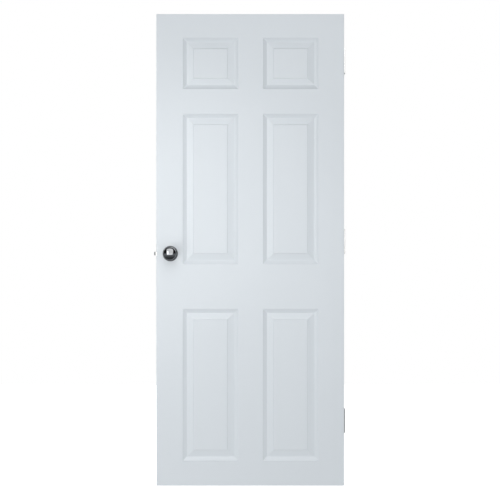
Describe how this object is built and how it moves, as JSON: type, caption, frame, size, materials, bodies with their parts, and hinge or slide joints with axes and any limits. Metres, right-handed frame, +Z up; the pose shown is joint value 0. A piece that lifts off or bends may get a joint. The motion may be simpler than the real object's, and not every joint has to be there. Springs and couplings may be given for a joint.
{
  "type": "fire door leaf",
  "caption": "White moulded fire door leaf with raised panels, a round chrome knob set, a sprung latch and butt hinges.",
  "frame": {"origin": "middle of the leaf's bottom edge, halfway through its thickness", "axes": "+Z up the leaf; the front face, as pictured, looks to -Y; the lock edge is at -X and the hinge edge at +X"},
  "size_m": [0.8267, 0.1698, 2.032],
  "materials": {
    "white_paint": "moulded fibreboard under satin white paint",
    "painted_softwood": "planed softwood, its edges under satin white paint",
    "inner_wood": "planed softwood, bare",
    "core_board": "pressed particle board",
    "seal": "extruded fire seal",
    "dark_chrome": "polished black nickel, a dark chrome",
    "satin_steel": "satin stainless steel",
    "zinc_steel": "zinc-plated steel",
    "washer_bronze": "oiled bronze"
  },
  "bodies": {
    "hinge_jamb_side": {"top_hinge_jamb_plate": "satin_steel", "top_hinge_pin": "satin_steel", "top_hinge_washers": "washer_bronze", "middle_hinge_jamb_plate": "satin_steel", "middle_hinge_pin": "satin_steel", "middle_hinge_washers": "washer_bronze", "bottom_hinge_jamb_plate": "satin_steel", "bottom_hinge_pin": "satin_steel", "bottom_hinge_washers": "washer_bronze"},
    "leaf": {"front_skin": "white_paint", "back_skin": "white_paint", "lock_stile": "painted_softwood", "hinge_stile": "painted_softwood", "top_rail": "painted_softwood", "bottom_rail": "painted_softwood", "lock_block": "inner_wood", "fire_core": "core_board", "lock_edge_seal": "seal", "hinge_edge_seal": "seal", "top_edge_seal": "seal", "front_rose": "dark_chrome", "back_rose": "dark_chrome", "latch_faceplate": "satin_steel", "latch_screws": "satin_steel", "hinge_screws": "satin_steel", "latch_case": "zinc_steel", "latch_spring": "zinc_steel", "fixing_bolts": "zinc_steel", "front_fixing_plate": "zinc_steel", "back_fixing_plate": "zinc_steel", "top_hinge_leaf_plate": "satin_steel", "middle_hinge_leaf_plate": "satin_steel", "bottom_hinge_leaf_plate": "satin_steel"},
    "knobs": {"front_knob_head": "dark_chrome", "front_knob_shank": "dark_chrome", "back_knob_head": "dark_chrome", "back_knob_shank": "dark_chrome", "front_grub_screw": "zinc_steel", "back_grub_screw": "zinc_steel", "spindle": "zinc_steel", "latch_hub": "zinc_steel"},
    "latch_bolt": {"latch_bolt": "satin_steel", "latch_drawbar": "zinc_steel"}
  },
  "joints": [
    {"name": "leaf_swing", "type": "hinge", "parent": "hinge_jamb_side", "child": "leaf", "pos_m": [0.40525, 0.029, 0], "axis": [0, 0, -1], "range_deg": [0, 170]},
    {"name": "knob_turn", "type": "hinge", "parent": "leaf", "child": "knobs", "pos_m": [-0.3445, 0, 1], "axis": [0, 1, 0], "range_deg": [0, 60]},
    {"name": "latch_draw", "type": "slide", "parent": "leaf", "child": "latch_bolt", "axis": [1, 0, 0], "range_m": [0, 0.0105], "stiffness_N_per_m": 600, "springref_m": -0.01, "deforming": ["latch_spring"]}
  ],
  "couplings": [
    {"joint": "latch_draw", "follows": "knob_turn", "m_per_rad": 0.010027}
  ]
}
